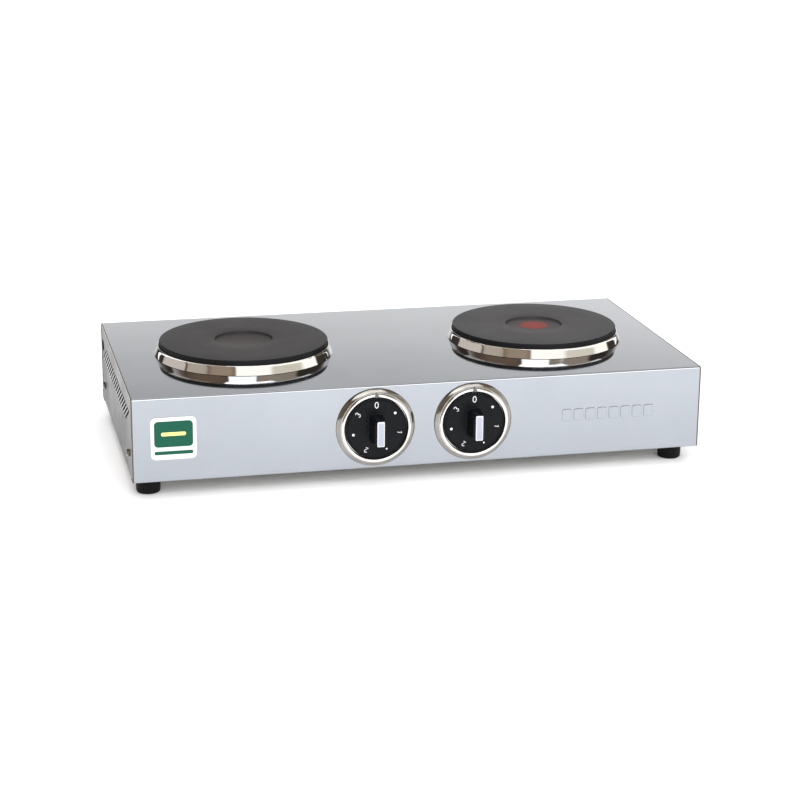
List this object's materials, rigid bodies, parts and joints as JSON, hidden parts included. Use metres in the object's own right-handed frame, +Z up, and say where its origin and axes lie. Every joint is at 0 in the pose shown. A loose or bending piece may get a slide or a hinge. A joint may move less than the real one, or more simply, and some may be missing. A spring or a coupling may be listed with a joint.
{
  "type": "hot plate burner",
  "caption": "Low stainless-steel bench-top boiling unit with solid cast-iron hot plates in overflow rings and rotary heat controls on its front.",
  "frame": {"origin": "centre of the unit at bench level, under the middle of the box", "axes": "+X along the width towards the plate with the red spot, +Y from the controls to the back, +Z up"},
  "size_m": [0.605, 0.362, 0.123],
  "materials": {
    "stainless_shell": "bright, very fine lengthwise brushing, mirror-like at a low angle",
    "stainless_side": "satin stainless",
    "chrome_ring": "polished",
    "chrome_bezel": "polished",
    "cast_iron_plate": "matt, heat-blackened, fine grain",
    "red_enamel": "matt heat-proof spot",
    "knob_plastic": "satin moulded thermoset",
    "white_insert": "satin white",
    "foot_rubber": "matt black",
    "zinc_steel": "zinc-plated",
    "ceramic": "unglazed steatite, opaque",
    "heater_magnesia": "pressed magnesia, opaque",
    "switch_phenolic": "brown phenolic moulding",
    "gland_nylon": "black nylon",
    "loom_sleeve": "woven glass sleeve",
    "label_film": "thin printed film, plain pattern"
  },
  "bodies": {
    "unit": {"housing": "stainless_shell", "side_panel_left": "stainless_side", "side_panel_right": "stainless_side", "base_tray": "zinc_steel", "foot_front_left": "foot_rubber", "foot_screw_front_left": "zinc_steel", "side_screw_front_left": "zinc_steel", "foot_rear_left": "foot_rubber", "foot_screw_rear_left": "zinc_steel", "side_screw_rear_left": "zinc_steel", "foot_front_right": "foot_rubber", "foot_screw_front_right": "zinc_steel", "side_screw_front_right": "zinc_steel", "foot_rear_right": "foot_rubber", "foot_screw_rear_right": "zinc_steel", "side_screw_rear_right": "zinc_steel", "plate_left": "cast_iron_plate", "overflow_ring_left": "chrome_ring", "heater_core_left": "heater_magnesia", "plate_cover_left": "zinc_steel", "plate_stud_left": "zinc_steel", "clamp_bridge_left": "zinc_steel", "clamp_nut_left": "zinc_steel", "plate_terminal_left": "ceramic", "plate_right": "cast_iron_plate", "overflow_ring_right": "chrome_ring", "heater_core_right": "heater_magnesia", "plate_cover_right": "zinc_steel", "plate_stud_right": "zinc_steel", "clamp_bridge_right": "zinc_steel", "clamp_nut_right": "zinc_steel", "plate_terminal_right": "ceramic", "plate_spot_right": "red_enamel", "bezel_left": "chrome_bezel", "switch_body_left": "switch_phenolic", "switch_screw_a_left": "zinc_steel", "switch_screw_b_left": "zinc_steel", "bezel_right": "chrome_bezel", "switch_body_right": "switch_phenolic", "switch_screw_a_right": "zinc_steel", "switch_screw_b_right": "zinc_steel", "cable_gland": "gland_nylon", "gland_nut": "gland_nylon", "gland_lock_nut": "zinc_steel", "mains_terminal": "ceramic", "earth_bolt": "zinc_steel", "supply_loom_left": "loom_sleeve", "heater_loom_left": "loom_sleeve", "supply_loom_right": "loom_sleeve", "heater_loom_right": "loom_sleeve", "front_label": "label_film"},
    "left_control": {"knob_left": "knob_plastic", "knob_insert_left": "white_insert", "switch_shaft_left": "zinc_steel"},
    "right_control": {"knob_right": "knob_plastic", "knob_insert_right": "white_insert", "switch_shaft_right": "zinc_steel"}
  },
  "joints": [
    {"name": "left_knob_turn", "type": "hinge", "parent": "unit", "child": "left_control", "pos_m": [-0.0515, -0.154, 0.064], "axis": [0, 1, 0], "continuous": true},
    {"name": "right_knob_turn", "type": "hinge", "parent": "unit", "child": "right_control", "pos_m": [0.0515, -0.154, 0.064], "axis": [0, 1, 0], "continuous": true}
  ]
}
